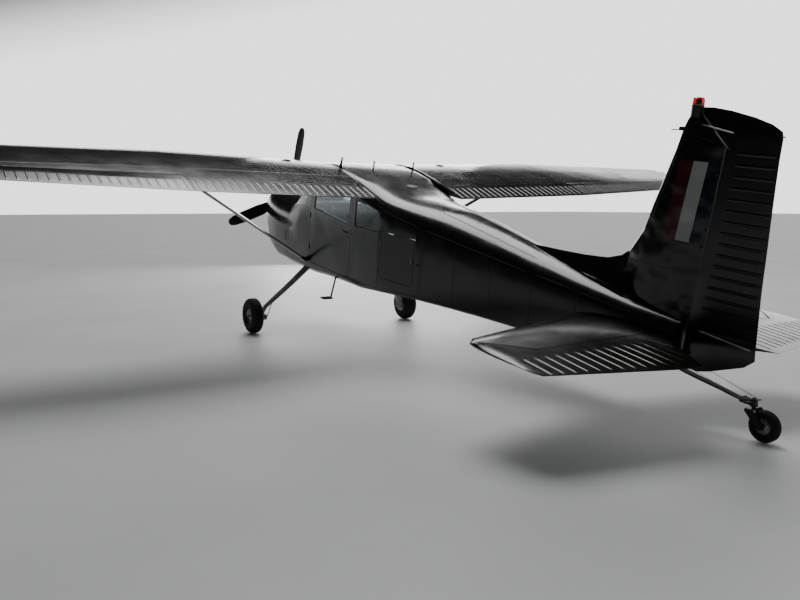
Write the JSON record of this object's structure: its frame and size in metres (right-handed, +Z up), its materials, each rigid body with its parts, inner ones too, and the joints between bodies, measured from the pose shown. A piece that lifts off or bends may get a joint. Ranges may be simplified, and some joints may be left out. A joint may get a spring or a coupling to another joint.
{
  "type": "light aircraft",
  "caption": "High-wing, strut-braced, single-engine light aircraft parked on a tail-wheel gear, with opening doors, free-turning wheels and propeller, and hinged control surfaces and flaps.",
  "frame": {"origin": "on the ground, below the middle of the whole aircraft's box, as parked on its three wheels", "axes": "+X towards the nose along the ground, +Y to the aircraft's left along the span, +Z up"},
  "size_m": [7.9048, 10.92, 2.7357],
  "materials": {
    "paint": "semi-gloss very dark olive enamel on riveted aluminium sheet",
    "cowl_paint": "semi-gloss dark enamel on formed aluminium",
    "grey_paint": "grey enamel on steel and aluminium",
    "black_paint": "black enamel",
    "steel": "plain spring steel and tube, dulled",
    "cast_aluminium": "cast and machined",
    "tyre": "grooved rubber",
    "red_lens": "clear red moulded lens",
    "glass": "clear acrylic sheet with a cool tint",
    "seat_cloth": "woven seat cloth"
  },
  "bodies": {
    "root": {"cabin_shell": "paint", "windscreen": "glass", "rear_glass_left": "glass", "rear_glass_right": "glass", "tail_cone": "paint", "cowl_upper": "cowl_paint", "cowl_lower": "cowl_paint", "engine_block": "cast_aluminium", "exhaust": "steel", "wing_left": "paint", "strut_left": "paint", "wing_right": "paint", "strut_right": "paint", "stabilizer_left": "paint", "stabilizer_right": "paint", "fin": "paint", "beacon_base": "black_paint", "beacon_lens": "red_lens", "whisker_left": "steel", "whisker_right": "steel", "fin_probe": "black_paint", "roof_mast_1": "black_paint", "roof_mast_2": "black_paint", "roof_mast_3": "black_paint", "pitot_tube": "steel", "gear_leg_left": "grey_paint", "gear_leg_right": "grey_paint", "tail_spring": "steel", "tail_bracket": "black_paint", "step_left": "black_paint", "step_right": "black_paint", "instrument_panel": "black_paint", "seat_left": "seat_cloth", "seat_right": "seat_cloth", "rear_seat": "seat_cloth"},
    "propeller": {"spinner": "black_paint", "blade_1": "black_paint", "blade_2": "black_paint", "blade_3": "black_paint"},
    "wheel_left": {"wheel_rim_left": "cast_aluminium", "tyre_left": "tyre"},
    "wheel_right": {"wheel_rim_right": "cast_aluminium", "tyre_right": "tyre"},
    "tail_swivel": {"tail_fork": "black_paint"},
    "tail_wheel": {"tail_rim": "cast_aluminium", "tail_tyre": "tyre"},
    "door_left": {"door_left": "paint", "door_glass_left": "glass"},
    "door_right": {"door_right": "paint", "door_glass_right": "glass"},
    "baggage_door": {"baggage_door": "paint"},
    "flap_left": {"flap_left": "paint"},
    "flap_right": {"flap_right": "paint"},
    "aileron_left": {"aileron_left": "paint"},
    "aileron_right": {"aileron_right": "paint"},
    "elevator": {"elevator": "paint"},
    "rudder": {"rudder": "paint"}
  },
  "joints": [
    {"name": "propeller_spin", "type": "hinge", "parent": "root", "child": "propeller", "pos_m": [3.69165, 0, 1.7404], "axis": [0.9914, 0, 0.1305], "continuous": true},
    {"name": "wheel_left_spin", "type": "hinge", "parent": "root", "child": "wheel_left", "pos_m": [2.39374, 1.159, 0.222], "axis": [0, 1, 0], "continuous": true},
    {"name": "wheel_right_spin", "type": "hinge", "parent": "root", "child": "wheel_right", "pos_m": [2.39374, -1.159, 0.222], "axis": [0, 1, 0], "continuous": true},
    {"name": "tail_swivel", "type": "hinge", "parent": "root", "child": "tail_swivel", "pos_m": [-3.7534, 0, 0.21861], "axis": [0, 0, 1], "continuous": true},
    {"name": "tail_wheel_spin", "type": "hinge", "parent": "tail_swivel", "child": "tail_wheel", "pos_m": [-3.8404, 0, 0.11241], "axis": [0, 1, 0], "continuous": true},
    {"name": "door_left_hinge", "type": "hinge", "parent": "root", "child": "door_left", "pos_m": [1.96955, 0.552, 1.3755], "axis": [0.1305, 0, -0.9914], "range_deg": [0, 70]},
    {"name": "door_right_hinge", "type": "hinge", "parent": "root", "child": "door_right", "pos_m": [1.96955, -0.552, 1.3755], "axis": [-0.1305, 0, 0.9914], "range_deg": [0, 70]},
    {"name": "baggage_door_hinge", "type": "hinge", "parent": "root", "child": "baggage_door", "pos_m": [0.31504, 0.549, 1.08708], "axis": [0.1305, 0, -0.9914], "range_deg": [0, 95]},
    {"name": "flap_left_hinge", "type": "hinge", "parent": "root", "child": "flap_left", "pos_m": [0.69904, 0.56, 1.67923], "axis": [0.004, -0.9995, -0.0303], "range_deg": [0, 40]},
    {"name": "flap_right_hinge", "type": "hinge", "parent": "root", "child": "flap_right", "pos_m": [0.69904, -0.56, 1.67923], "axis": [-0.004, -0.9995, 0.0303], "range_deg": [0, 40]},
    {"name": "aileron_left_hinge", "type": "hinge", "parent": "root", "child": "aileron_left", "pos_m": [0.63825, 2.556, 1.8575], "axis": [0.0929, 0.9951, 0.0343], "range_deg": [-17, 17]},
    {"name": "aileron_right_hinge", "type": "hinge", "parent": "root", "child": "aileron_right", "pos_m": [0.63825, -2.556, 1.8575], "axis": [0.0929, -0.9951, 0.0343], "range_deg": [-17, 17]},
    {"name": "elevator_hinge", "type": "hinge", "parent": "root", "child": "elevator", "pos_m": [-3.03588, 0, 0.62171], "axis": [0, 1, 0], "range_deg": [-23, 28]},
    {"name": "rudder_hinge", "type": "hinge", "parent": "root", "child": "rudder", "pos_m": [-3.20307, 0, 0.54322], "axis": [-0.1907, 0, 0.9817], "range_deg": [-16, 16]}
  ],
  "couplings": [
    {"joint": "flap_right_hinge", "follows": "flap_left_hinge", "ratio": 1},
    {"joint": "aileron_right_hinge", "follows": "aileron_left_hinge", "ratio": 1}
  ]
}
